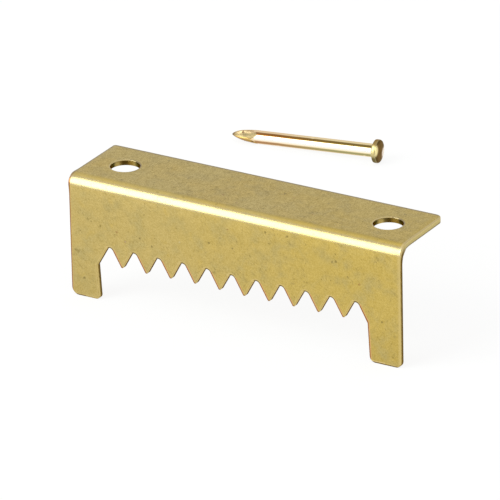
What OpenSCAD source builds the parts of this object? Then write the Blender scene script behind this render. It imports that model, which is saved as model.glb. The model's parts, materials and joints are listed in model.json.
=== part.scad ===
// Sawtooth picture hanger: one folded and pierced brass sheet, and the wall nail that it hangs on.
// Millimetres. +Z leaves the flange's outer face, the toothed front face looks along -Y, and X runs along the
// length. The origin is midway between the two nail holes, on the flange's outer face. The legs stand on the
// surface that the nail lies on.

/* [Sheet] */
// Length of the hanger from end to end
hanger_len = 45; // [25:0.5:90]
// How far the flange reaches back from the front face
flange_depth = 10.4; // [8:0.1:18]
// Height from the flange's outer face down to the feet of the legs
hanger_h = 15.4; // [12:0.1:24]
// Thickness of the sheet
sheet_t = 0.7; // [0.4:0.05:1]
// Outer radius of the fold
fold_r = 1.4; // [1.1:0.05:2.5]
// Radius of the flange's free corner at the left
left_corner_r = 0.4; // [0.1:0.05:1.5]
// Radius of the flange's free corner at the right
right_corner_r = 0.9; // [0.1:0.05:1.5]

/* [Nail holes] */
// Diameter of the two holes in the flange
hole_d = 3.6; // [2:0.1:5]
// Distance from each end of the sheet to the centre of its hole
hole_inset = 4.55; // [3:0.05:10]
// Distance from the front face back to the centres of the holes
hole_setback = 5.45; // [4.5:0.05:7]

/* [Row of notches] */
// Distance from one notch to the next
notch_pitch = 3.36; // [2.4:0.02:6]
// Depth of a notch between the sharp corners, before they are rounded
notch_depth = 2.9; // [1.6:0.05:3.6]
// Distance from the flange's outer face down to the sharp tops of the notches
notch_drop = 7.85; // [4:0.05:8.5]
// Radius at the top of a notch, where the nail's shank settles
notch_r = 0.5; // [0.1:0.05:0.6]
// Radius at the tip of a tooth
tooth_r = 0.2; // [0.1:0.05:0.4]
// How far the middle notch lies to the right of the sheet's middle
row_shift = -0.25; // [-1:0.05:1]

/* [Legs] */
// Least width of each leg; the row gets as many notches as the rest of the length has room for
leg_w = 4; // [3:0.1:8]
// How far the inner edges of both legs lean to the right on the way down to the feet
leg_lean = 0.25; // [-0.4:0.05:0.4]
// Radius at the outer corner of the left foot
left_outer_r = 0.95; // [0.1:0.05:1]
// Radius at the inner corner of the left foot
left_inner_r = 0.5; // [0.1:0.05:1]
// Radius at the inner corner of the right foot
right_inner_r = 0.75; // [0.1:0.05:1]
// Radius at the outer corner of the right foot
right_outer_r = 0.65; // [0.1:0.05:1]

/* [Nail] */
// Length of the nail from its point to the top of its head
nail_len = 20.2; // [12:0.1:30]
// Diameter of the shank
shank_d = 1.7; // [1:0.1:2.4]
// Diameter of the head
head_d = 3; // [2.6:0.1:4.5]
// Thickness of the head at its rim
head_t = 0.5; // [0.3:0.05:1]
// How far the head's top rises above its rim
head_crown = 0.15; // [0.05:0.05:0.3]
// Length of the 45 degree neck that joins the shank to the head
neck_len = 0.35; // [0.1:0.05:0.4]
// Length of the four-sided point along the middle of a facet
point_len = 3.6; // [2:0.1:5]
// Place of the nail's point along the hanger, from its middle
nail_point_x = -29.7; // [-40:0.1:-20]
// Distance of the nail's point behind the front face
nail_point_back = 49.3; // [30:0.1:70]
// Turn of the nail on the surface, from the line of the hanger
nail_heading = 6.5; // [-20:0.5:20]
// Turn of the point's front facet about the nail, up from facing the front
facet_turn = 40; // [0:5:45]

/* [Hidden] */
$fn = 96;
// Pieces of each rounded corner of an outline
corner_steps = 8;
// How far every cut runs past what it cuts
overrun = 1;
// Places in the frame that the sizes above give
front_y = -hole_setback;
back_y = front_y + flange_depth;
floor_z = -hanger_h;
half_len = hanger_len / 2;
hole_x = half_len - hole_inset;
notch_count = floor((hanger_len - 2 * leg_w) / notch_pitch);
notch_top_z = -notch_drop;
tooth_tip_z = notch_top_z - notch_depth;
row_start_x = row_shift - notch_count * notch_pitch / 2;
row_end_x = row_shift + notch_count * notch_pitch / 2;
// Half the drift of a leaning inner edge, and how much lower the tooth's side meets it for that
lean_x = leg_lean / 2;
lean_drop = lean_x * notch_depth / (notch_pitch / 2);
fold_inner_r = fold_r - sheet_t;
shank_r = shank_d / 2;
head_r = head_d / 2;
// Slope of each facet of the point against the nail's axis
facet_slope = atan(shank_r / point_len);
// The lowest line of the shank starts where the nearest facet runs out
rest_start = point_len * cos(facet_turn);
rest_end = nail_len - head_crown - head_t;
nail_tilt = atan((head_r - shank_r) / (rest_end - rest_start));
nail_point_lift = shank_r * cos(nail_tilt) - rest_start * sin(nail_tilt);
brass_front = [0.77, 0.69, 0.42];
brass_nail = [0.84, 0.74, 0.45];

// Unit vector from one point of an outline to another
function toward(a, b) = (b - a) / norm(b - a);

// Points of one rounded corner: an arc that touches both sides of corner b, between its neighbours a and c
function corner_arc(a, b, c, r) =
    let (u = toward(b, a), v = toward(b, c))
    let (half = acos(u * v) / 2, bisector = toward([0, 0], u + v))
    let (centre = b + bisector * r / sin(half))
    let (start = b + u * r / tan(half) - centre, swing = 180 - 2 * half)
    let (turn = sign(u.x * v.y - u.y * v.x) * -swing)
    [for (i = [0 : corner_steps])
        let (t = turn * i / corner_steps)
        centre + [start.x * cos(t) - start.y * sin(t), start.x * sin(t) + start.y * cos(t)]];

// An outline with every corner rounded: each entry is [x, y, radius], and a radius of zero keeps the corner
function rounded(pts) =
    let (n = len(pts))
    [for (i = [0 : n - 1])
        let (a = pts[(i + n - 1) % n], b = pts[i], c = pts[(i + 1) % n])
        let (p = [b.x, b.y])
        each b.z > 0 ? corner_arc([a.x, a.y], p, [c.x, c.y], b.z) : [p]];

// The row of notches from left to right, without the sides of the first and last one on the legs' inner edges
function notch_row() = [
    for (i = [0 : notch_count - 1])
        let (x = row_start_x + (i + 0.5) * notch_pitch)
        each i < notch_count - 1
            ? [[x, notch_top_z, notch_r], [x + notch_pitch / 2, tooth_tip_z, tooth_r]]
            : [[x, notch_top_z, notch_r]]];

// The sheet seen from the front: legs at the ends and the notched edge between them
module front_outline() {
    polygon(rounded(concat(
        [[-half_len, overrun, 0],
         [-half_len, floor_z, left_outer_r],
         [row_start_x + lean_x, floor_z, left_inner_r],
         [row_start_x - lean_x, tooth_tip_z - lean_drop, 0]],
        notch_row(),
        [[row_end_x - lean_x, tooth_tip_z + lean_drop, 0],
         [row_end_x + lean_x, floor_z, right_inner_r],
         [half_len, floor_z, right_outer_r],
         [half_len, overrun, 0]])));
}

// The sheet seen from above: the flange with its two rounded corners
module top_outline() {
    polygon(rounded([
        [-half_len, front_y - overrun, 0],
        [half_len, front_y - overrun, 0],
        [half_len, back_y, right_corner_r],
        [-half_len, back_y, left_corner_r]]));
}

// The sheet seen from its end, as [distance behind the front face, height]: flange, fold and front plate
module end_profile() {
    translate([fold_r, -sheet_t])
        square([flange_depth - fold_r, sheet_t]);
    translate([0, floor_z])
        square([sheet_t, hanger_h - fold_r]);
    intersection() {
        translate([0, -fold_r])
            square([fold_r, fold_r]);
        translate([fold_r, -fold_r])
            difference() {
                circle(r = fold_r);
                circle(r = fold_inner_r);
            }
    }
}

// The folded sheet before its holes: what the three outlines have in common
module folded_sheet() {
    intersection() {
        translate([-half_len, front_y, 0])
            rotate([90, 0, 90])
                linear_extrude(hanger_len)
                    end_profile();
        translate([0, back_y + overrun, 0])
            rotate([90, 0, 0])
                linear_extrude(flange_depth + 2 * overrun)
                    front_outline();
        translate([0, 0, floor_z - overrun])
            linear_extrude(hanger_h + 2 * overrun)
                top_outline();
    }
}

module hanger_plate() {
    color(brass_front)
        difference() {
            folded_sheet();
            for (side = [-1, 1])
                translate([side * hole_x, 0, -sheet_t - overrun])
                    cylinder(d = hole_d, h = sheet_t + 2 * overrun);
        }
}

// Half of the nail's outline as [radius, distance from the point]: shank, neck, rim and crowned head
module nail_profile() {
    polygon(concat(
        [[0, 0],
         [shank_r, 0],
         [shank_r, rest_end - neck_len],
         [shank_r + neck_len, rest_end],
         [head_r, rest_end]],
        [for (i = [0 : corner_steps])
            let (t = 90 * i / corner_steps)
            [head_r * cos(t), rest_end + head_t + head_crown * sin(t)]]));
}

// One facet of the point: a block that takes away what lies outside a plane through the point
module facet_cut() {
    rotate([0, facet_slope, 0])
        translate([0, -head_d, -point_len])
            cube([head_d, 2 * head_d, 3 * point_len]);
}

module nail() {
    color(brass_nail)
        translate([nail_point_x, front_y + nail_point_back, floor_z + nail_point_lift])
            rotate([0, 0, nail_heading])
                rotate([0, 90 - nail_tilt, 0])
                    difference() {
                        rotate_extrude()
                            nail_profile();
                        for (side = [0 : 3])
                            rotate([0, 0, side * 90 - facet_turn])
                                facet_cut();
                    }
}

hanger_plate();
nail();
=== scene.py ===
import json
from math import cos, exp, hypot, pi, radians, sin
import bmesh
import bpy
from mathutils import Matrix, Vector


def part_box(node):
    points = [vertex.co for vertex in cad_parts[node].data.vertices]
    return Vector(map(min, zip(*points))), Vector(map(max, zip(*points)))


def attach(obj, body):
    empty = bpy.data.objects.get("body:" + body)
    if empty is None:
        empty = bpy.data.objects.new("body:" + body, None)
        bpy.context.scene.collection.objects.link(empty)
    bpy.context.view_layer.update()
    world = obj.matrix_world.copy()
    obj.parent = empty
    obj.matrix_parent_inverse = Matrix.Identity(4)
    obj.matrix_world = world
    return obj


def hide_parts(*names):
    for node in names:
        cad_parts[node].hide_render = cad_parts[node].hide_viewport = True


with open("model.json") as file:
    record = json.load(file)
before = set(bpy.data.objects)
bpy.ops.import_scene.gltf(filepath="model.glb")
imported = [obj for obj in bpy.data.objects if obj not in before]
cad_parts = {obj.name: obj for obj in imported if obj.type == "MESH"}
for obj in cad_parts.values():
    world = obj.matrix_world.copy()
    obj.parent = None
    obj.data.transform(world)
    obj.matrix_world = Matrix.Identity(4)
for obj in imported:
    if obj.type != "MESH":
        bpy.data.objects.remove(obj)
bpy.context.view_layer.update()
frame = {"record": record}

# Camera: a long lens from the front right, a little above the flange, fitted to the photograph's edges.
# It looks at a point inside the hanger and is rolled by about a degree, as the photograph is.
MM = 0.001
AIM = Vector((2.714, -5.961, -4.256)) * MM
AZIMUTH = radians(31.235)
ELEVATION = radians(23.941)
ROLL = radians(-1.262)
DISTANCE = 784.8 * MM
LENS = 484.33
FILM_WIDTH = 36

scene = bpy.context.scene
forward = Vector((-sin(AZIMUTH) * cos(ELEVATION), cos(AZIMUTH) * cos(ELEVATION), -sin(ELEVATION)))
level_right = Vector((cos(AZIMUTH), sin(AZIMUTH), 0))
level_up = level_right.cross(forward)
right = level_right * cos(ROLL) + level_up * sin(ROLL)
up = level_up * cos(ROLL) - level_right * sin(ROLL)
camera_data = bpy.data.cameras.new("camera")
camera_data.lens = LENS
camera_data.sensor_width = FILM_WIDTH
camera_data.clip_start = 0.01
camera = bpy.data.objects.new("camera", camera_data)
turned = Matrix((right, up, -forward)).transposed().to_4x4()
camera.matrix_world = Matrix.Translation(AIM - forward * DISTANCE) @ turned
scene.collection.objects.link(camera)
scene.camera = camera

# Hanger plate: 0.7 mm brass strip, blanked with its teeth, legs and nail holes, then folded to a right
# angle. The punch rolls the outer face's edges over and leaves the sheared faces darker. The fold swells a
# little at both ends, and the inner edges stay sharper.
SHEET = 0.7 * MM
FOLD_R = 1.4 * MM
NOTCH_PITCH = 3.36 * MM
NOTCHES = 11
NOTCH_TOP = 7.85 * MM
NOTCH_DEPTH = 2.9 * MM
NOTCH_R = 0.5 * MM
TOOTH_R = 0.2 * MM
ROW_SHIFT = -0.25 * MM
ROW_WAVES = (  # height in mm, turn for each mm of length, turn at the middle
    (0.062, 0.05, 0.15), (0.055, 0.272, 3.469), (0.042, 0.525, 4.311), (0.035, 1.907, 1.991))
LEG_LEAN = 0.25 * MM
FOOT_RADII = (0.95 * MM, 0.5 * MM, 0.75 * MM, 0.65 * MM)
CORNER_RADII = (0.4 * MM, 0.9 * MM)
EDGE_ROLL = 0.09 * MM
EDGE_ROLL_STEPS = 3
INNER_EDGE_SHARE = 0.5
BEND_BULGE = 0.11 * MM
BEND_MARGIN = 1.2 * MM
END_DROOP = 1.1 * MM
FOOT_RIM = 0.4 * MM
SPECK_CELLS = 640  # in a metre
RELIEF = 0.02 * MM
CORNER_STEPS = 10
HOLE_STEPS = 72
FOLD_STEPS = 33
SAME_PLACE = 1e-6

# Colours of the sheet, of its rolled rims and of its sheared faces.
FRONT_ENDS = (0.572, 0.434, 0.148), (0.580, 0.428, 0.112)  # left, right
TOP_PATCHES = (0.572, 0.437, 0.141), (0.585, 0.426, 0.114)  # greener, warmer
TOP_RIGHT = (0.570, 0.416, 0.094)
TARNISH = (0.47, 0.385, 0.155), (0.48, 0.375, 0.135)  # front plate, flange
GOLD_PATCH = (0.62, 0.44, 0.105)
SMUDGE = (0.25, 0.19, 0.056)
DASH = (0.26, 0.19, 0.055)
SPECKS = (0.17, 0.13, 0.045), (0.33, 0.155, 0.06)  # dark, rusty
PALE_SPECK = (0.78, 0.72, 0.52)
HAIRLINE = (0.30, 0.23, 0.07)
GRAIN_PALING = (0, 0.05, 0.12)
# Painted highlight: the rolled rims of the front plate are lighter than its face.
RIM = (0.66, 0.51, 0.19)
# On the flange: golden is a painted light rim at the right end and round the holes; grey also stands where
# the softbox would glint in a hole's rim, a painted shade.
RIM_ON_TOP = (0.34, 0.265, 0.145), (0.66, 0.52, 0.24)  # grey, golden
# Painted shade on rims that look down, over the arches and along the feet.
RIM_SHADE_BELOW = (0.13, 0.085, 0.025)
RIM_LEFT = (0.30, 0.095, 0.025)
# Painted glints: light lines just inside the rims.
GLINTS = (0.78, 0.60, 0.29), (0.74, 0.42, 0.19)  # on edges that look right, left
BURNISHED = (0.62, 0.49, 0.20), (0.60, 0.48, 0.165)  # front plate, flange
TORN = (0.12, 0.085, 0.028), (0.22, 0.155, 0.05)  # row, upright edges
TEAR = (0.07, 0.048, 0.014)
BURR = (0.42, 0.33, 0.12), (0.13, 0.09, 0.03)  # front plate, flange
# A hole's wall: painted shade, darker at the sides than in the middle, and a painted highlight in two bands.
BORE = (0.15, 0.105, 0.03), (0.065, 0.056, 0.016)  # middle, sides
BORE_HIGHLIGHT = (0.50, 0.37, 0.115)
BORE_ACROSS = (0.855, 0.518)  # direction from one bright band to the other
EDGE_GLANCE = (0.62, 0.40, 0.22, 1)

plate_low, plate_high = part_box("hanger_plate")
mounts = {mount["name"]: mount for mount in frame["record"]["mounts"]}
hole_sizes = mounts["nail_holes"]["dims"]
plate_len = plate_high.x - plate_low.x


class Web:
    """A node tree with, if one is given, a socket of it that sums and products can be written with."""

    def __init__(self, tree, socket=None):
        self.tree = tree
        self.socket = socket

    def add(self, kind, settings={}, sockets={}, out=0):
        """A node with its settings made first, then its sockets' values or links, and one of its outputs."""
        node = self.tree.nodes.new(kind)
        for name, value in settings.items():
            if name == "items":
                while len(node.index_switch_items) < value:
                    node.index_switch_items.new()
            else:
                setattr(node, name, value)
        for name, value in sockets.items():
            for one in value if isinstance(value, list) else [value]:
                if isinstance(one, Web):
                    self.tree.links.new(one.socket, node.inputs[name])
                else:
                    node.inputs[name].default_value = one
        return Web(self.tree, node.outputs[out] if node.outputs else None)

    def out(self, name):
        return Web(self.tree, self.socket.node.outputs[name])

    def math(self, operation, *terms):
        return self.add("ShaderNodeMath", {"operation": operation}, dict(enumerate(terms)))

    def __add__(self, other):
        return self.math("ADD", self, other)

    def __radd__(self, other):
        return self.math("ADD", other, self)

    def __sub__(self, other):
        return self.math("SUBTRACT", self, other)

    def __rsub__(self, other):
        return self.math("SUBTRACT", other, self)

    def __mul__(self, other):
        return self.math("MULTIPLY", self, other)

    def __rmul__(self, other):
        return self.math("MULTIPLY", other, self)

    def __truediv__(self, other):
        return self.math("DIVIDE", self, other)

    def __rtruediv__(self, other):
        return self.math("DIVIDE", other, self)

    def __neg__(self):
        return self.math("MULTIPLY", self, -1)

    def __gt__(self, other):
        return self.math("GREATER_THAN", self, other)

    def __lt__(self, other):
        return self.math("LESS_THAN", self, other)

    def least(self, other):
        return self.math("MINIMUM", self, other)

    def most(self, other):
        return self.math("MAXIMUM", self, other)

    def vector(self, x, y, z):
        return self.add("ShaderNodeCombineXYZ", {}, {0: x, 1: y, 2: z})

    def parts(self):
        split = self.add("ShaderNodeSeparateXYZ", {}, {0: self})
        return split, split.out(1), split.out(2)

    def rise(self, low, high):
        """0 below low and 1 above high, eased between them."""
        eased = {"interpolation_type": "SMOOTHSTEP"}
        return self.add("ShaderNodeMapRange", eased, {0: self, 1: low, 2: high})

    def reach(self, other):
        """The distance that two lengths at right angles span."""
        return self.math("SQRT", self * self + other * other)

    def size(self):
        return self.math("ABSOLUTE", self)

    def blend(self, share, first, second):
        """The colour first where share is 0, and second where it is 1."""
        first, second = ((*one, 1) if isinstance(one, tuple) else one for one in (first, second))
        return self.add("ShaderNodeMix", {"data_type": "RGBA"}, {0: share, 6: first, 7: second}, out=2)

    def toned(self, share):
        """This colour made lighter or darker by a factor."""
        return self.add("ShaderNodeVectorMath", {"operation": "SCALE"}, {0: self, "Scale": share})

    def noise(self, detail, roughness, seed):
        """Noise at this place, where the grains are about one unit wide."""
        return self.add("ShaderNodeTexNoise", {"noise_dimensions": "4D"}, {
            "Vector": self, "W": seed, "Scale": 1, "Detail": detail, "Roughness": roughness})


def row_lift(x):
    """How much higher the worn dies leave the notched edge at a place along it."""
    return sum(x.math("SINE", x * (rate / MM) + start) * (height * MM) for height, rate, start in ROW_WAVES)


def plate_tree():
    """Geometry nodes that cut the blank, give it its thickness and fold it."""
    tree = bpy.data.node_groups.new("folded_plate", "GeometryNodeTree")
    tree.interface.new_socket("Plate", in_out="OUTPUT", socket_type="NodeSocketGeometry")
    sizes = {
        "Length": plate_len,
        "Sheet": SHEET,
        "Fold Radius": FOLD_R,
        "Fold Margin": BEND_MARGIN,
        "Foot Drop": plate_high.z - plate_low.z - FOLD_R,
        "Flange": plate_high.y - plate_low.y - FOLD_R,
        "Pitch": NOTCH_PITCH,
        "Row Shift": ROW_SHIFT,
        "Notch Drop": NOTCH_TOP - FOLD_R,
        "Notch Depth": NOTCH_DEPTH,
        "Notch Radius": NOTCH_R,
        "Tooth Radius": TOOTH_R,
        "Leg Lean": LEG_LEAN / 2,
        "Left Outer Radius": FOOT_RADII[0],
        "Left Inner Radius": FOOT_RADII[1],
        "Right Inner Radius": FOOT_RADII[2],
        "Right Outer Radius": FOOT_RADII[3],
        "Left Corner Radius": CORNER_RADII[0],
        "Right Corner Radius": CORNER_RADII[1],
        "Hole Radius": hole_sizes["hole_r_mm"] * MM,
        "Hole Spacing": hole_sizes["spacing_x_mm"] * MM,
        "Hole Drop": -plate_low.y - FOLD_R,
        "Bulge": BEND_BULGE,
        "Inner Edge": INNER_EDGE_SHARE,
    }
    keys = {}
    for name, size in sizes.items():
        socket = tree.interface.new_socket(name, in_out="INPUT", socket_type="NodeSocketFloat")
        keys[socket.identifier] = size
    count = tree.interface.new_socket("Notches", in_out="INPUT", socket_type="NodeSocketInt")
    keys[count.identifier] = NOTCHES
    paint = tree.interface.new_socket("Material", in_out="INPUT", socket_type="NodeSocketMaterial")
    web = Web(tree)
    group = web.add("NodeGroupInput")
    size = group.out
    half = size("Length") / 2
    radius = size("Fold Radius")
    margin = size("Fold Margin")
    arc = radius * (pi / 2)

    def pick(index, values):
        kind = {"data_type": "FLOAT", "items": len(values)}
        return web.add("GeometryNodeIndexSwitch", kind, dict(enumerate([index, *values])))

    def outline(points, index, xs, us, radii):
        """A closed curve through points at xs along the strip and us across it, with rounded corners."""
        line = web.add("GeometryNodeMeshLine", {}, {"Count": points, "Offset": (MM, 0, 0)})
        place = web.vector(pick(index, xs), pick(index, us), 0)
        line = web.add("GeometryNodeSetPosition", {}, {"Geometry": line, "Position": place})
        line = web.add("GeometryNodeStoreNamedAttribute", {"data_type": "FLOAT", "domain": "POINT"},
                       {"Geometry": line, "Name": "corner", "Value": pick(index, radii)})
        curve = web.add("GeometryNodeMeshToCurve", {}, {"Mesh": line})
        curve = web.add("GeometryNodeSetSplineCyclic", {}, {"Geometry": curve, "Cyclic": True})
        corner = web.add("GeometryNodeInputNamedAttribute", {"data_type": "FLOAT"}, {"Name": "corner"})
        return web.add("GeometryNodeFilletCurve", {"mode": "POLY"},
                       {"Curve": curve, "Count": CORNER_STEPS, "Radius": corner})

    index = web.add("GeometryNodeInputIndex")
    row_points = size("Notches") * 2 - 1
    along = index - 4
    tip = along.math("MODULO", along, 2)
    row_half = size("Notches") * size("Pitch") / 2
    row_start = size("Row Shift") - row_half
    row_end = size("Row Shift") + row_half
    row_x = row_start + (along + 1) * size("Pitch") / 2
    tooth_tip = -size("Notch Drop") - size("Notch Depth")
    lean = size("Leg Lean")
    lean_drop = lean * size("Notch Depth") / (size("Pitch") / 2)
    foot = -size("Foot Drop")
    row_u = row_lift(row_x) - size("Notch Drop") - tip * size("Notch Depth")
    row_r = size("Notch Radius") + tip * (size("Tooth Radius") - size("Notch Radius"))
    front = outline(
        row_points + 8, index.least(4) + (index - (row_points + 3)).most(0),
        [-half, -half, row_start + lean, row_start - lean, row_x,
         row_end - lean, row_end + lean, half, half],
        [-margin, foot, foot, tooth_tip - lean_drop, row_u, tooth_tip + lean_drop, foot, foot, -margin],
        [0, size("Left Outer Radius"), size("Left Inner Radius"), 0, row_r,
         0, size("Right Inner Radius"), size("Right Outer Radius"), 0])
    back = arc + size("Flange")
    flange = outline(4, index, [-half, -half, half, half], [arc + margin, back, back, arc + margin],
                     [0, size("Left Corner Radius"), size("Right Corner Radius"), 0])
    hole = web.add("GeometryNodeCurvePrimitiveCircle", {},
                   {"Resolution": HOLE_STEPS, "Radius": size("Hole Radius")})
    hole_x = size("Hole Spacing") / 2
    hole_u = arc + size("Hole Drop")
    holes = []
    for x in (-hole_x, hole_x):
        moved = {"Geometry": hole, "Translation": web.vector(x, hole_u, 0)}
        holes.append(web.add("GeometryNodeTransform", {}, moved))
    top = web.add("GeometryNodeJoinGeometry", {}, {0: [flange, *holes]})
    flats = [web.add("GeometryNodeFillCurve", {"mode": "NGONS"}, {"Curve": one}) for one in (front, top)]
    strip = web.add("GeometryNodeMeshGrid", {}, {
        "Size X": size("Length"), "Size Y": arc + margin * 2, "Vertices X": 2, "Vertices Y": FOLD_STEPS})
    middle = web.vector(0, arc / 2, 0)
    strip = web.add("GeometryNodeTransform", {}, {"Geometry": strip, "Translation": middle})
    blank = web.add("GeometryNodeJoinGeometry", {}, {0: [*flats, strip]})
    blank = web.add("GeometryNodeMergeByDistance", {}, {"Geometry": blank, "Distance": SAME_PLACE})
    under = web.add("GeometryNodeFlipFaces", {}, {"Mesh": blank})
    walls = web.add("GeometryNodeExtrudeMesh", {"mode": "FACES"}, {
        "Mesh": under, "Offset": (0, 0, -1), "Offset Scale": size("Sheet"), "Individual": False})
    solid = web.add("GeometryNodeJoinGeometry", {}, {0: [blank, walls]})
    solid = web.add("GeometryNodeMergeByDistance", {}, {"Geometry": solid, "Distance": SAME_PLACE})

    place = web.add("GeometryNodeInputPosition")
    x, u, depth = place.parts()
    angle = web.add("GeometryNodeInputMeshEdgeAngle")
    roll = (angle > radians(45)) * (size("Inner Edge") + (1 - size("Inner Edge")) * (depth > -SHEET / 2))
    solid = web.add("GeometryNodeStoreNamedAttribute", {"data_type": "FLOAT", "domain": "EDGE"},
                    {"Geometry": solid, "Name": "bevel_weight_edge", "Value": roll})
    bent = u.most(0).least(arc)
    turn = bent / radius
    straight = u - bent
    reach = radius + depth
    cosine = web.math("COSINE", turn)
    sine = web.math("SINE", turn)
    swell = ((u + margin) / (arc + margin * 2)).most(0).least(1)
    swell = web.math("SINE", swell * pi)
    swell = swell * swell * size("Bulge") * (1 - depth / size("Sheet"))
    side = web.math("SIGN", x)
    folded = web.vector(
        x + side * swell,
        plate_low.y + radius - reach * cosine + straight * sine,
        reach * sine - radius + straight * cosine)
    solid = web.add("GeometryNodeSetPosition", {}, {"Geometry": solid, "Position": folded})
    solid = web.add("GeometryNodeSetShadeSmooth", {}, {"Geometry": solid, "Shade Smooth": True})
    solid = web.add("GeometryNodeRealizeInstances", {}, {"Geometry": solid})
    solid = web.add("GeometryNodeSetMaterial", {}, {"Geometry": solid, "Material": size("Material")})
    web.add("NodeGroupOutput", {}, {0: solid})
    return tree, keys, paint.identifier


def sheet_brass():
    """Rolled brass sheet, thinly tarnished: yellow in front, greyer on the flange, dark where sheared."""
    material = bpy.data.materials.new("sheet_brass")
    material.use_nodes = True
    tree = material.node_tree
    tree.nodes.clear()
    web = Web(tree)
    x, y, z = web.add("ShaderNodeTexCoord", out="Object").parts()

    # A place on the unfolded sheet: x along the strip, run up the plate and back over the flange, and the
    # depth below the outer face. Bend goes from 0 on the front plate, over the fold, to 1 on the flange.
    behind = (plate_low.y + FOLD_R - y).most(0)
    above = (z + FOLD_R).most(0)
    depth = FOLD_R - behind.reach(above)
    run = y + z
    bend = above / (above + behind)
    flange = bend.rise(0.25, 0.9)
    fold = bend.rise(0, 0.15) * (1 - bend.rise(0.85, 1))

    def mottle(size, detail=2, roughness=0.5, seed=0, stretch=1, slant=0):
        """Noise with grains of a size in mm, drawn out along a line that falls to the right by an angle."""
        size = size * MM
        across = (x * cos(slant) - run * sin(slant)) / (size * stretch)
        down = (run * cos(slant) + x * sin(slant)) / size
        return web.vector(across, down, depth / size).noise(detail, roughness, seed)

    # Gap from a place to the nearest sheared edge: the row with its arches and tooth tips, the legs' inner
    # edges, the holes, the ends, the feet and the back. The flange's ends and back count as nearer than they
    # are, because their rims are wider.
    row_x = x - ROW_SHIFT
    half_pitch = NOTCH_PITCH / 2
    flank = hypot(half_pitch, NOTCH_DEPTH)
    lean_x, lean_z = half_pitch / flank, NOTCH_DEPTH / flank
    last = NOTCHES // 2
    from_top = row_x - web.math("ROUND", row_x / NOTCH_PITCH).most(-last).least(last) * NOTCH_PITCH
    off_top = from_top.size()
    row_z = z - row_lift(x)
    under_top = row_z + NOTCH_TOP + NOTCH_R / lean_x
    row_gap = off_top * lean_z + under_top * lean_x - NOTCH_R
    arch = under_top * lean_z > off_top * lean_x
    row_gap = row_gap + arch * (off_top.reach(under_top) - NOTCH_R - row_gap)
    off_tip = half_pitch - off_top
    over_tip = row_z + NOTCH_TOP + NOTCH_DEPTH - TOOTH_R / lean_x
    tip = (off_tip * lean_x + over_tip * lean_z < 0) * (row_x.size() < last * NOTCH_PITCH)
    row_gap = row_gap + tip * (TOOTH_R - off_tip.reach(over_tip) - row_gap)
    foot_gap = z - plate_low.z
    up_leg = foot_gap / (-NOTCH_TOP - NOTCH_DEPTH - plate_low.z)
    leg_gap = (row_x - (0.5 - up_leg) * LEG_LEAN).size() - NOTCHES * half_pitch
    leg = leg_gap > row_gap
    row_gap = row_gap.most(leg_gap)
    hole_r = hole_sizes["hole_r_mm"] * MM
    hole_x = x - web.math("SIGN", x) * (hole_sizes["spacing_x_mm"] / 2 * MM)
    hole_gap = hole_x.reach(y) - hole_r
    end_gap = plate_len / 2 - x.size()
    edge_gap = (end_gap * (1 - flange * 0.35)).least(foot_gap).least((plate_high.y - y) * 0.45)
    edge_gap = edge_gap.least(row_gap).least(hole_gap + 9 * MM * (1 - flange))
    row = (row_gap < end_gap) * (1 - flange)
    left_row = row * ((from_top > 0).most(tip) * (1 - leg) * (1 - arch)).most(leg * (x > 0))
    foot = foot_gap < FOOT_RIM
    left_facing = left_row.most((x < 0) * (end_gap < row_gap) * (1 - flange)) * (1 - foot)

    # Rolled face: a tint along the strip, clouds of tarnish, golden patches, smudges, slanted dashes, specks,
    # hairlines and grain.
    patch = mottle(6.5, 2, 0.5, 3)
    cloud = mottle(2.4, 3, 0.55, 0)
    grain = mottle(0.22, 3, 0.8, 1)
    along = x / plate_len + 0.5 + (patch - 0.5) * 0.5
    front = web.blend(along.rise(0.2, 0.85), *FRONT_ENDS)
    # Darker towards the feet, and lighter just under the fold: a painted reflection of the softbox's soft
    # lower edge.
    front = front.toned(1 - z.rise(-9 * MM, -14.5 * MM) * 0.08 + z.rise(-3.2 * MM, -1.5 * MM) * 0.08)
    top = web.blend(patch.rise(0.35, 0.65), *TOP_PATCHES)
    top = web.blend(along.rise(0.4, 0.95) * 0.8, top, TOP_RIGHT)
    face = web.blend(flange, front, top)
    face = web.blend(cloud.rise(0.42, 0.74) * 0.7, face, web.blend(flange, *TARNISH))
    gold = mottle(1.7, 2, 0.6, 11).rise(0.56, 0.74)
    face = web.blend(gold * (0.38 - flange * 0.2), face, GOLD_PATCH)
    smudge = mottle(1.1, 3, 0.65, 7).rise(0.55, 0.74) * mottle(6, 1, 0.5, 2).rise(0.42, 0.6)
    face = web.blend(smudge * 0.7, face, SMUDGE)
    dash = mottle(0.2, 2, 0.6, 8, 2.4, radians(50)).rise(0.56, 0.72)
    dash = dash * mottle(2.6, 1, 0.5, 9).rise(0.38, 0.62)
    face = web.blend(dash * 0.75, face, DASH)
    cells = web.add("ShaderNodeTexVoronoi", {}, {"Vector": web.vector(x, run, depth), "Scale": SPECK_CELLS})
    chance = web.add("ShaderNodeSeparateColor", {}, {0: cells.out("Color")})
    speck = (1 - (cells + (grain - 0.5) * 0.3).rise(0.04, 0.14)) * chance.rise(0.35, 0.6)
    face = web.blend(speck * 0.6, face, web.blend(chance.out(1).rise(0.6, 0.62), *SPECKS))
    pale = (1 - cells.rise(0.04, 0.1)) * chance.out(1).rise(0.9, 0.91)
    face = web.blend(pale * 0.25, face, PALE_SPECK)
    hairline = 1 - (mottle(0.5, 2, 0.5, 5, 14, radians(38)) - 0.5).size().rise(0, 0.012)
    face = web.blend(hairline * cloud.rise(0.45, 0.6) * 0.3, face, HAIRLINE)
    coarse = mottle(0.75, 3, 0.65, 4)
    tone = (grain - 0.5) * (0.85 + flange * 0.9) + (coarse - 0.5) * (0.3 + flange * 0.4)
    tone = tone * (1 - fold * 0.8)
    paler = web.add("ShaderNodeVectorMath", {"operation": "ADD"}, {0: face, 1: GRAIN_PALING})
    face = web.add("ShaderNodeVectorMath", {"operation": "MULTIPLY_ADD"}, {0: paler, 1: tone, 2: face})
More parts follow.
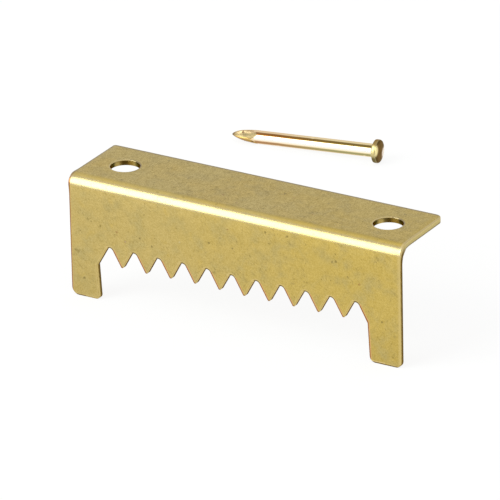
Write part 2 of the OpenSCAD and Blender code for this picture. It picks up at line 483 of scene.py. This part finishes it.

    # Fold: a faint painted shade line behind it, and a clear coat over the band where the softbox's highlight
    # falls. Under the coat the colour is darker, and a strip above the band is painted lighter, a painted
    # reflection.
    crease_shade = 1 - (y - plate_low.y - FOLD_R).size().rise(0.15 * MM, 0.55 * MM)
    face = face.toned(1 - crease_shade * above.rise(0, FOLD_R) * x.rise(-16 * MM, -2 * MM) * 0.04)
    highlight_band = bend.rise(0.06, 0.2) * (1 - bend.rise(0.52, 0.7))
    face = face.toned(1 - highlight_band * 0.2 + bend.rise(0.45, 0.6) * (1 - bend.rise(0.8, 1)) * 0.06)

    # Rolled-over rim of the face, painted light and shade by where it looks: reddish with a painted salmon
    # glint line inside it on edges that look left, a painted highlight and a light glint line inside it on
    # those that look right, and painted shade on rims that look down over the arches and feet. On the flange
    # it is grey at the left and back, and golden at the right and the holes, a painted light rim, but grey as
    # painted shade where the softbox would glint in a hole's rim.
    shaded = edge_gap + row * (1 - arch) * (1 - left_row) * (0.1 * MM) - left_row * (0.03 * MM)
    rim = 1 - shaded.rise(0.11 * MM, 0.19 * MM)
    inside = edge_gap.rise(0.15 * MM, 0.21 * MM) * (1 - edge_gap.rise(0.24 * MM, 0.34 * MM))
    sideways = (hole_x * BORE_ACROSS[0] + y * BORE_ACROSS[1]) / hole_r
    # Golden painted light rim round the holes and at the right end, left grey as painted shade where the
    # softbox would glint in a hole's rim.
    golden = (hole_gap < 0.5 * MM) * (1 - sideways.rise(0.2, 0.35))
    golden = ((x > 0) * (end_gap < 0.5 * MM)).most(golden)
    rim_shade = web.blend(flange, RIM, web.blend(golden, *RIM_ON_TOP))
    # Painted shade on the rims over the arches and along the feet, which look down.
    shaded_low_rim = row * arch * (1 - leg) * from_top.rise(-0.35 * MM, -0.1 * MM)
    shaded_low_rim = shaded_low_rim.most(foot * (1 - flange))
    rim_shade = web.blend(shaded_low_rim, rim_shade, RIM_SHADE_BELOW)
    rim_shade = web.blend(left_facing, rim_shade, RIM_LEFT)
    face = web.blend(rim * 0.9, face, rim_shade)
    # Painted glint lines just inside the rims.
    inside = inside * (0.25 + left_row.most(row * arch * 0.3) * 0.55) * (1 - flange)
    face = web.blend(inside, face, web.blend(left_facing, *GLINTS))

    # Sheared face: a burnished band under the rim, then a dull torn zone down to the burr. On the flange the
    # torn zone is mostly left out, so its ends and holes stay golden. A hole's wall is painted darker at its
    # sides as shade, with two painted highlight bands.
    cut = depth.rise(0.08 * MM, 0.14 * MM) * (1 - depth.rise(SHEET - 0.02 * MM, SHEET - 0.005 * MM))
    tear = web.vector(x / (0.2 * MM), run / (0.2 * MM), depth / (1.1 * MM)).noise(3, 0.65, 6)
    upright = leg.most(end_gap < 0.15 * MM)
    torn = depth.rise(0.22 * MM, 0.34 * MM) * (1 - flange * 0.9)
    sheared = web.blend(torn, web.blend(flange, *BURNISHED), web.blend(upright, *TORN))
    sheared = web.blend(tear.rise(0.35, 0.75) * (0.5 - flange * 0.35), sheared, TEAR)
    burr = depth.rise(SHEET - 0.16 * MM - flange * 0.08 * MM, SHEET - 0.06 * MM)
    sheared = web.blend(burr * (0.15 + flange * 0.7), sheared, web.blend(flange, *BURR))
    off_middle = (sideways + (cloud - 0.5) * 0.5).size()
    bright = off_middle.rise(0.12, 0.42) * (1 - off_middle.rise(0.55, 0.8))
    bore = web.blend(off_middle.rise(0.55, 0.8), *BORE)
    bore = web.blend(bright * (0.6 + tear * 0.6), bore, BORE_HIGHLIGHT)
    sheared = web.blend(flange * (1 - hole_gap.rise(0.1 * MM, 0.3 * MM)), sheared, bore)
    colour = web.blend(cut, face, sheared)

    # Sheen: rougher where dirty or torn, with slight dents, drooping ends and a right half that twists.
    # Sheared faces and dark rims don't turn white at a glance, so they have a shader of their own.
    rough = 0.22 + cloud * 0.07 + smudge * 0.12 + dash * 0.08 + cut * (torn * 0.2 + 0.08)
    droop = (1 - end_gap / END_DROOP).most(0)
    relief = mottle(3.3, 2, 0.5, 10) * 0.4 + (cloud * 0.18 + grain * 0.05 - speck * 0.06) * (1 - fold)
    relief = relief + cut * torn * tear * 0.5 - droop * droop * 12
    relief = relief - run * x.most(0) / (plate_len * MM) * 8
    bump = web.add("ShaderNodeBump", {}, {"Strength": 0.35, "Distance": RELIEF, "Height": relief})
    metal = {"Metallic": 1, "Base Color": colour, "Roughness": rough, "Normal": bump}
    polish = {"Coat Weight": highlight_band, "Coat Roughness": 0.38, "Coat IOR": 1.9}
    rolled = web.add("ShaderNodeBsdfPrincipled", {}, {**metal, **polish})
    broken = web.add("ShaderNodeBsdfPrincipled", {}, {**metal, "Specular Tint": EDGE_GLANCE})
    dull_edge = cut.most(rim * left_facing.most(shaded_low_rim)) * (1 - flange * (hole_gap > 0.3 * MM))
    shader = web.add("ShaderNodeMixShader", {}, {0: dull_edge, 1: rolled, 2: broken})
    web.add("ShaderNodeOutputMaterial", {}, {"Surface": shader})
    return material


def plain_mesh(name, source):
    """A mesh object made of source as its modifiers leave it."""
    source.data.update()
    evaluated = source.evaluated_get(bpy.context.evaluated_depsgraph_get())
    mesh = bpy.data.meshes.new_from_object(evaluated)
    mesh.name = name
    piece = bpy.data.objects.new(name, mesh)
    scene.collection.objects.link(piece)
    bpy.data.objects.remove(source)
    return piece


brass = sheet_brass()
blank = bpy.data.objects.new("blank", bpy.data.meshes.new("blank"))
scene.collection.objects.link(blank)
press = blank.modifiers.new("press", "NODES")
press.node_group, inputs, brass_input = plate_tree()
for key, value in inputs.items():
    press[key] = value
press[brass_input] = brass
edges = blank.modifiers.new("edges", "BEVEL")
edges.limit_method = "WEIGHT"
edges.width = EDGE_ROLL
edges.segments = EDGE_ROLL_STEPS
edges.use_clamp_overlap = False
shading = blank.modifiers.new("shading", "WEIGHTED_NORMAL")
shading.weight = 50
hanger = plain_mesh("toothed_plate", blank)
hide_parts("hanger_plate")
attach(hanger, "root")

# Wall nail: drawn brass wire with a four-sided point pinched off by the dies and a flat head struck on its
# end. It lies loose behind the hanger, on the rim of its head and on its shank. Angles round it are turned
# up from its front, and lengths along it run from the point.
SHANK_R = 0.85 * MM
SHANK_END = 19.2 * MM
NECK = 0.35 * MM
NECK_FLARE = ((0.3, 0.5), (0.9, 1))  # added radius and place along the neck, as shares of its length
HEAD_R = 1.5 * MM
HEAD_RIM = 0.5 * MM
HEAD_CROWN = 0.15 * MM
HEAD_WOBBLE = 0.02 * MM
HEAD_ROLL = 0.07 * MM
HEAD_ROLL_STEPS = 2
POINT = 3.6 * MM
BLUNT = (0.55, -0.247, 0.25)  # power of the taper at the tip, its change to the shank, and that at corners
FACETS = 4
FACET_TURN = radians(40)
FACET_REACH = radians(42)
FACET_HOLLOW = 0.03 * MM
TIP_CUT = 0.03 * MM
COLUMNS = 64
POINT_ROWS = 14
POINT_ROW_CROWDING = 1.7
SHANK_ROWS = 110
HEAD_ROWS = 7
NICKS = (  # place in mm, angle in degrees, width and depth in mm
    (18.3, -34, 0.16, 0.1), (11.2, 68, 0.2, 0.04), (6.6, -28, 0.25, 0.035), (1.6, 61, 0.16, 0.12))

# Colours of the wire near the point and near the head, of the lines along it (painted highlights, painted
# shade and dark streaks), and of its point and head.
WIRE = (1, 0.78, 0.50), (1, 0.84, 0.50)
FLARE = (0.80, 0.72, 0.41)
WHITE_HIGHLIGHT = ((1, 0.985, 0.90),) * 2
CREAM_HIGHLIGHT = ((1, 0.96, 0.84),) * 2
BROWN_SHADE_AND_STREAK = (0.26, 0.105, 0.022), (0.20, 0.13, 0.032)
OLIVE_SHADE_AND_STREAK = (0.40, 0.20, 0.08), (0.36, 0.325, 0.14)
# White and cream lines are painted highlights; the brown and olive lines at 53 and -27 degrees are painted
# shade, and those at 165 and 240 degrees dark streaks.
PAINTED_LINES_AND_STREAKS = (  # angle and width in degrees, strength, colours, how far it wanders
    (20, 29, 1, WHITE_HIGHLIGHT, 0), (-66, 22, 1, CREAM_HIGHLIGHT, 0), (53, 22, 1, BROWN_SHADE_AND_STREAK, 0.12),
    (-27, 20, 0.95, OLIVE_SHADE_AND_STREAK, 0.12), (165, 12, 0.9, BROWN_SHADE_AND_STREAK, 0.3), (240, 14, 0.85, OLIVE_SHADE_AND_STREAK, 0.3))
GOLD_UNDER_POINT = (0.75, 0.50, 0.20)
FACET = (0.21, 0.155, 0.078), (0.30, 0.23, 0.12)
# Painted light: the facet that looks up is lighter. Below it, facets are golden, with painted shade where
# they look down.
FACET_LIT_ABOVE = (0.56, 0.41, 0.225)
FACET_BELOW_LIT_AND_SHADED = (0.30, 0.14, 0.035), (0.50, 0.32, 0.075)
# Dark spots painted as the shade of dents, at places on the point.
DENT_SHADE_SPOTS = ((1.62, 66), (3.05, -27))  # place in mm, angle in degrees
DENT = (0.06, 0.028, 0.01)
TIP = (0.13, 0.07, 0.03)
# Painted highlight in the middle of the head's edge, and painted shade below and above it.
HEAD_EDGE = (0.58, 0.48, 0.22)
HEAD_EDGE_SHADES = (0.105, 0.085, 0.025), (0.30, 0.19, 0.06)  # lower, upper
HEAD_EDGE_LIFT = radians(25)
# The crown's painted shade, and its two painted highlights.
CROWN = (0.06, 0.042, 0.01), (0.14, 0.08, 0.025)
CROWN_HIGHLIGHTS = ((0.9, 0.35, (0.95, 0.82, 0.40)), (-0.85, -0.42, (1, 0.99, 0.95)))
WIRE_GLANCE = (0.88, 0.73, 0.58, 1)

nail_low, nail_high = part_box("nail")
pin = mounts["nail_shank"]
pin_centre = Vector(pin["pos_m"])
to_point = Vector(pin["axis"]).normalized()
nail_point = pin_centre + to_point * ((nail_low.x - pin_centre.x) / to_point.x)
nail_axis = -to_point
nail_front = nail_axis.cross(Vector((0, 0, 1))).normalized()
nail_top = nail_front.cross(nail_axis)
head_under = SHANK_END + NECK
rim_end = head_under + HEAD_RIM


def on_nail(along, turn, radius):
    """The place at a distance from the point, at an angle up from the front of the nail, off its axis."""
    return nail_point + nail_axis * along + (nail_front * cos(turn) + nail_top * sin(turn)) * radius


def nick_depth(along, turn):
    """How deep the small dents of handling go at a place on the shank."""
    depth = 0
    for place, angle, width, most in NICKS:
        around = (turn - radians(angle) + pi) % (2 * pi) - pi
        far = ((along / MM - place) ** 2 + (around * SHANK_R / MM) ** 2) / width ** 2
        depth += most * MM * exp(-far)
    return depth


def nail_mesh():
    """Rings of vertices from the point to the top of the head. On the point each side is nearly flat in its
    middle and rounder at its corners, and its blunt end swells towards the shank."""
    mesh = bmesh.new()
    weight = mesh.edges.layers.float.new("bevel_weight_edge")
    turns = [FACET_TURN - pi / FACETS + 2 * pi * column / COLUMNS for column in range(COLUMNS)]
    offsets = [(turn - FACET_TURN + pi / FACETS) % (2 * pi / FACETS) - pi / FACETS for turn in turns]
    runs_out = [POINT * cos(offset) for offset in offsets]
    rings = []
    for row in range(POINT_ROWS + 1):
        share = TIP_CUT / POINT + (1 - TIP_CUT / POINT) * (row / POINT_ROWS) ** POINT_ROW_CROWDING
        ring = []
        for turn, offset, end in zip(turns, offsets, runs_out):
            hollow = FACET_HOLLOW * sin(pi * share) * max(0, 1 - (offset / FACET_REACH) ** 2)
            power = BLUNT[0] + (BLUNT[1] - BLUNT[2] * abs(offset) * FACETS / pi) * share
            radius = SHANK_R * share ** power - hollow - nick_depth(end * share, turn) * share
            ring.append(on_nail(end * share, turn, radius))
        rings.append(ring)
    for row in range(1, SHANK_ROWS + 1):
        ring = []
        for turn, end in zip(turns, runs_out):
            along = end + (SHANK_END - end) * row / SHANK_ROWS
            ring.append(on_nail(along, turn, SHANK_R - nick_depth(along, turn)))
        rings.append(ring)
    head = [(SHANK_R + NECK * out, SHANK_END + NECK * along) for out, along in NECK_FLARE]
    head += [(HEAD_R, head_under), (HEAD_R, rim_end)]
    for step in range(1, HEAD_ROWS):
        lift = pi / 2 * step / HEAD_ROWS
        head.append((HEAD_R * cos(lift), rim_end + HEAD_CROWN * sin(lift)))
    for radius, along in head:
        wobble = HEAD_WOBBLE * (radius / HEAD_R) ** 2
        rings.append([on_nail(along, turn, radius - wobble * (1 + sin(3 * turn + 1))) for turn in turns])
    rows = [[mesh.verts.new(place) for place in ring] for ring in rings]
    for lower, upper in zip(rows, rows[1:]):
        for column in range(COLUMNS):
            after = (column + 1) % COLUMNS
            mesh.faces.new((lower[column], lower[after], upper[after], upper[column]))
    for ring, along, flip in ((rows[0], TIP_CUT / 2, True), (rows[-1], rim_end + HEAD_CROWN, False)):
        centre = mesh.verts.new(on_nail(along, 0, 0))
        for column in range(COLUMNS):
            pair = (ring[column], ring[(column + 1) % COLUMNS])
            mesh.faces.new((centre, *reversed(pair)) if flip else (centre, *pair))
    rim = POINT_ROWS + SHANK_ROWS + 1 + len(NECK_FLARE)
    for ring in rows[rim:rim + 2]:
        for column in range(COLUMNS):
            mesh.edges.get((ring[column], ring[(column + 1) % COLUMNS]))[weight] = 1
    bmesh.ops.recalc_face_normals(mesh, faces=mesh.faces)
    for face in mesh.faces:
        face.smooth = True
    result = bpy.data.meshes.new("wire_nail")
    mesh.to_mesh(result)
    mesh.free()
    return result


def wire_brass():
    """Bright drawn brass with painted highlight lines and dark lines of painted shade and streaks along the
    wire, dull facets with cutting marks and a dark tip.
    """
    material = bpy.data.materials.new("wire_brass")
    material.use_nodes = True
    tree = material.node_tree
    tree.nodes.clear()
    web = Web(tree)
    place = web.add("ShaderNodeTexCoord", out="Object")
    shift = {"operation": "SUBTRACT"}
    shifted = web.add("ShaderNodeVectorMath", shift, {0: place, 1: tuple(nail_point)})
    dot = {"operation": "DOT_PRODUCT"}
    along, front, top = (
        web.add("ShaderNodeVectorMath", dot, {0: shifted, 1: tuple(way)}, out="Value")
        for way in (nail_axis, nail_front, nail_top))
    around = web.math("ARCTAN2", top, front)
    radius = front.reach(top)

    def noise(long, short, detail=2, seed=0):
        """Noise with grains so many mm long and wide, drawn out along the wire."""
        grains = web.vector(along / (long * MM), front / (short * MM), top / (short * MM))
        return grains.noise(detail, 0.5, seed)

    # Shank: bright wire with two painted white highlight lines and four dark lines along it, two of painted
    # shade and two streaks, and a golden flare under the head.
    streak = noise(8, 0.4, 3)
    wander = noise(3.5, 90, 2, 4) - 0.5
    shank = along.rise(3 * MM, 3.6 * MM) * (1 - along.rise(SHANK_END + 0.2 * MM, head_under))
    warm = along.rise(4 * MM, 15 * MM)
    flare = along.rise(SHANK_END - 0.1 * MM, SHANK_END + 0.1 * MM)
    colour = web.blend(flare, web.blend(warm, *WIRE), FLARE)
    for angle, width, share, tints, wave in PAINTED_LINES_AND_STREAKS:
        gap = (around - radians(angle) - wander * wave) / (2 * pi)
        gap = (gap - web.math("ROUND", gap)).size() * 2 * pi
        line = (1 - gap.rise(radians(width) * 0.45, radians(width) * 1.1)) * share * shank
        line = line * (0.8 + streak * 0.4) * (1 - flare * 0.4)
        colour = web.blend(line, colour, web.blend(warm, *tints))

    # Facets: the flat part of each side of the point, dull from the die, with slanted cutting marks and two
    # dark
    # spots, the painted shade of dents. They are paler near the tip. Light and shade are painted by where
    # they look:
    # the facet above is lighter, and those below the corner that looks to the front are golden, darker where
    # they look down.
    colour = web.blend(along.rise(2.6 * MM, 3.4 * MM), GOLD_UNDER_POINT, colour)
    side = (around - FACET_TURN) / (2 * pi / FACETS)
    side = (side - web.math("ROUND", side)) * (2 * pi / FACETS)
    facet = 1 - side.size().rise(FACET_REACH * 0.92, FACET_REACH)
    facet = facet * (1 - (along / web.math("COSINE", side)).rise(POINT, POINT + 0.12 * MM))
    slant = (along + side * 2.4 * MM) / (0.16 * MM)
    marks = web.vector(slant, side * 1.5, 0).noise(2, 0.6, 3)
    facet_tint = web.blend(marks.rise(0.3, 0.7), *FACET)
    facet_tint = facet_tint.toned(1.9 - along.rise(0.9 * MM, 2.1 * MM) * 1.2)
    facet_tint = web.blend(around.rise(radians(45), radians(66)), facet_tint, FACET_LIT_ABOVE)
    below = web.blend(around.rise(radians(-70), radians(-45)), *FACET_BELOW_LIT_AND_SHADED)
    facet_tint = web.blend(around.rise(radians(0), radians(8)), below, facet_tint)
    colour = web.blend(facet, colour, facet_tint)
    for spot, angle in DENT_SHADE_SPOTS:
        far = (along - spot * MM).reach((around - radians(angle)) * radius)
        colour = web.blend(0.8 - far.rise(0.08 * MM, 0.26 * MM) * 0.8, colour, DENT)

    # Head: an edge painted light in the middle as a highlight and dark above, below and behind as shade, and
    # a crown painted dark as shade, with two painted highlights near its edge.
    rim = along.rise(head_under - 0.02 * MM, head_under)
    rim = rim * (1 - along.rise(rim_end - 0.03 * MM, rim_end + 0.03 * MM))
    up_edge = (top * cos(HEAD_EDGE_LIFT) - front * sin(HEAD_EDGE_LIFT)) / HEAD_R
    ends = (up_edge + 0.1).size().rise(0.3, 0.65)
    ends = ends.most(front < 0) * (0.7 + noise(0.3, 0.5, 2, 6) * 0.4)
    colour = web.blend(rim, colour, HEAD_EDGE)
    colour = web.blend(rim * ends, colour, web.blend(top.rise(0, HEAD_R), *HEAD_EDGE_SHADES))
    crown = web.blend(noise(9, 0.8, 3, 9).rise(0.35, 0.65), *CROWN)
    for spot_front, spot_top, tint in CROWN_HIGHLIGHTS:
        far = (front / HEAD_R - spot_front).reach(top / HEAD_R - spot_top)
        crown = web.blend(1 - far.rise(0.3, 0.65), crown, tint)
    colour = web.blend(along.rise(rim_end, rim_end + 0.05 * MM), colour, crown)
    point = 1 - along.rise(0.15 * MM, 0.7 * MM)
    colour = web.blend(point * 0.8, colour, TIP)
    relief = streak * 0.3 + noise(1.1, 0.7, 2, 2) * 0.3 + facet * marks * 0.5
    bump = web.add("ShaderNodeBump", {}, {"Strength": 0.3, "Distance": RELIEF, "Height": relief})
    rough = 0.1 + streak * 0.08 + point * 0.2 + facet * 0.2 + rim * 0.25
    shader = web.add("ShaderNodeBsdfPrincipled", {}, {
        "Metallic": 1, "Base Color": colour, "Roughness": rough, "Normal": bump,
        "Specular Tint": WIRE_GLANCE})
    web.add("ShaderNodeOutputMaterial", {}, {"Surface": shader})
    return material


wire = bpy.data.objects.new("wire", nail_mesh())
scene.collection.objects.link(wire)
wire.data.materials.append(wire_brass())
rims = wire.modifiers.new("rims", "BEVEL")
rims.limit_method = "WEIGHT"
rims.width = HEAD_ROLL
rims.segments = HEAD_ROLL_STEPS
rims.use_clamp_overlap = False
shading = wire.modifiers.new("shading", "WEIGHTED_NORMAL")
shading.weight = 50
nail = plain_mesh("wall_nail", wire)
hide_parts("nail")
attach(nail, "root")

# Floor and light: white paper under a large softbox at the front left, in a pale room that is grey near the
# horizon and white above. The camera sees paper and room as white, and the metal reflects the paper's glow.
FLOOR_HALF = 3
PAPER_GLOW = 0.87
PAPER = (0.12, 0.12, 0.12, 1)
ROOM = (0.76, 0.76, 0.76), (1.0, 1.0, 1.0)
ROOM_SPAN = (0.65, 0.88)
WHITE = (1, 1, 1)
BOX_TURN = radians(35)
BOX_RISE = radians(29.5)
BOX_WIDTH = 1.05
BOX_HEIGHT = 1.46
BOX_DISTANCE = 1.6
BOX_GLOW = 4.8
BOX_TINT = (0.9, 0.96, 0.9)

floor_mesh = bpy.data.meshes.new("floor")
corners = [(FLOOR_HALF * x, FLOOR_HALF * y, plate_low.z) for x, y in ((-1, -1), (1, -1), (1, 1), (-1, 1))]
floor_mesh.from_pydata(corners, [], [(0, 1, 2, 3)])
floor = bpy.data.objects.new("floor", floor_mesh)
scene.collection.objects.link(floor)
paper = bpy.data.materials.new("white_paper")
paper.use_nodes = True
paper.node_tree.nodes.clear()
web = Web(paper.node_tree)
path = web.add("ShaderNodeLightPath")
seen = path.out("Is Camera Ray").most(path.out("Is Glossy Ray")).most(path.out("Is Transmission Ray"))
glow = web.add("ShaderNodeEmission", {}, {"Color": seen * PAPER_GLOW})
matt = web.add("ShaderNodeBsdfDiffuse", {}, {"Color": PAPER})
both = web.add("ShaderNodeAddShader", {}, {0: glow, 1: matt})
web.add("ShaderNodeOutputMaterial", {}, {"Surface": both})
floor_mesh.materials.append(paper)

world = bpy.data.worlds.new("studio")
scene.world = world
world.use_nodes = True
world.node_tree.nodes.clear()
web = Web(world.node_tree)
path = web.add("ShaderNodeLightPath")
height = web.add("ShaderNodeTexCoord").parts()[2]
room = web.blend(height.rise(*ROOM_SPAN), *ROOM)
sky = web.blend(path.out("Is Camera Ray"), room, WHITE)
background = web.add("ShaderNodeBackground", {}, {"Color": sky})
web.add("ShaderNodeOutputWorld", {}, {"Surface": background})

towards = Vector((-sin(BOX_TURN) * cos(BOX_RISE), -cos(BOX_TURN) * cos(BOX_RISE), sin(BOX_RISE)))
lamp_data = bpy.data.lights.new("softbox", "AREA")
lamp_data.shape = "RECTANGLE"
lamp_data.size = BOX_WIDTH
lamp_data.size_y = BOX_HEIGHT
lamp_data.energy = BOX_GLOW * pi * BOX_WIDTH * BOX_HEIGHT
lamp_data.color = BOX_TINT
lamp = bpy.data.objects.new("softbox", lamp_data)
lamp.location = towards * BOX_DISTANCE
lamp.rotation_mode = "QUATERNION"
lamp.rotation_quaternion = towards.to_track_quat("Z", "Y")
scene.collection.objects.link(lamp)

scene.view_settings.view_transform = "Standard"
